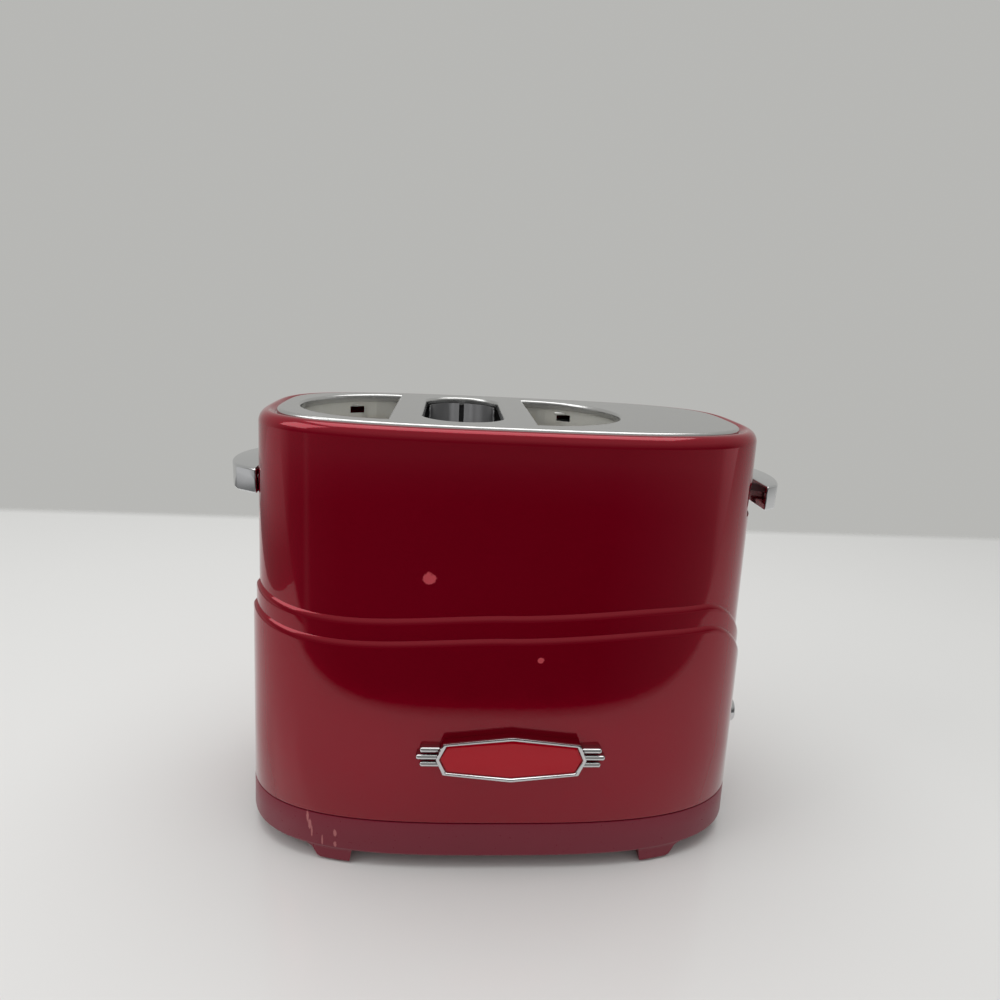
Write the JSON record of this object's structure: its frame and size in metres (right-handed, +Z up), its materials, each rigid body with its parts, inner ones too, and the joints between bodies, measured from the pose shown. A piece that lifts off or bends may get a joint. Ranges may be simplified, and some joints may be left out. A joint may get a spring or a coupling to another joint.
{
  "type": "hot dog toaster",
  "caption": "Retro pop-up toaster for buns and hot dogs: rounded red body, satin top plate, chrome side levers on a sprung carriage, lift-out cage and crumb tray.",
  "frame": {"origin": "on the table, under the middle of the toaster's outer box", "axes": "+Z up, front with the badge towards -Y, dial and stop button on the end towards +X"},
  "size_m": [0.265, 0.1415, 0.206],
  "materials": {
    "red_shell": "high-gloss dark red lacquer",
    "red_base": "gloss red moulded plastic",
    "red_pad": "gloss dark red moulded plastic",
    "red_inlay": "high-gloss red enamel",
    "chrome_trim": "polished chrome plating",
    "satin_steel": "satin stainless steel",
    "well_steel": "bright drawn steel, satin",
    "sheet_steel": "plain galvanised sheet",
    "screw_steel": "zinc-plated steel",
    "dark_sheet": "dark grey non-stick coating",
    "mica": "pressed mica board, matt",
    "heating_wire": "oxidised heating ribbon",
    "rubber": "matt black rubber",
    "brass": "sintered bronze",
    "copper_wire": "enamelled copper winding",
    "board_green": "green solder mask",
    "black_plastic": "matt black plastic",
    "white_plastic": "ivory plastic"
  },
  "bodies": {
    "body": {"outer_shell": "red_shell", "base": "red_base", "foot_pads": "rubber", "bottom_plate": "sheet_steel", "base_screws": "screw_steel", "top_plate": "satin_steel", "bun_well_left": "well_steel", "bun_well_right": "well_steel", "hot_dog_well": "dark_sheet", "upper_frame": "sheet_steel", "lower_frame": "sheet_steel", "heat_shield_front": "sheet_steel", "heat_shield_rear": "sheet_steel", "heater_boards_left": "mica", "heater_boards_right": "mica", "heater_windings_left": "heating_wire", "heater_windings_right": "heating_wire", "guard_wires": "screw_steel", "guide_rods": "screw_steel", "return_spring_left": "screw_steel", "return_spring_right": "screw_steel", "magnet_core": "screw_steel", "magnet_coil": "copper_wire", "circuit_board": "board_green", "board_components": "black_plastic", "control_bracket": "sheet_steel", "timer_body": "black_plastic", "dial_bush": "chrome_trim", "button_spring": "screw_steel", "stop_switch": "black_plastic", "cord_gland": "black_plastic", "terminal_block": "white_plastic", "badge_pad": "red_pad", "badge_bezel": "chrome_trim", "badge_inlay": "red_inlay"},
    "carriage": {"carriage_frame": "sheet_steel", "guide_bushes": "brass", "bun_tray_left": "sheet_steel", "bun_tray_right": "sheet_steel", "hot_dog_tray": "sheet_steel", "lever_arm_left": "sheet_steel", "lever_arm_right": "sheet_steel", "lever_left": "chrome_trim", "lever_right": "chrome_trim", "latch_plate": "screw_steel"},
    "cage": {"hot_dog_cage": "dark_sheet"},
    "dial": {"dial": "chrome_trim", "dial_shaft": "screw_steel"},
    "stop_button": {"stop_button": "chrome_trim"},
    "crumb_tray": {"crumb_tray": "sheet_steel"}
  },
  "joints": [
    {"name": "carriage_slide", "type": "slide", "parent": "body", "child": "carriage", "axis": [0, 0, -1], "range_m": [0, 0.055], "stiffness_N_per_m": 90, "springref_m": -0.09, "deforming": ["return_spring_left", "return_spring_right"]},
    {"name": "cage_lift", "type": "slide", "parent": "carriage", "child": "cage", "axis": [0, 0, 1], "range_m": [0, 0.14]},
    {"name": "dial_turn", "type": "hinge", "parent": "body", "child": "dial", "pos_m": [0.12, 0.01, 0.057], "axis": [1, 0, 0], "range_deg": [-135, 135]},
    {"name": "stop_press", "type": "slide", "parent": "body", "child": "stop_button", "axis": [-1, 0, 0], "range_m": [0, 0.0018], "stiffness_N_per_m": 300, "springref_m": -0.002, "deforming": ["button_spring"]},
    {"name": "crumb_tray_slide", "type": "slide", "parent": "body", "child": "crumb_tray", "axis": [0, 1, 0], "range_m": [0, 0.11]}
  ]
}
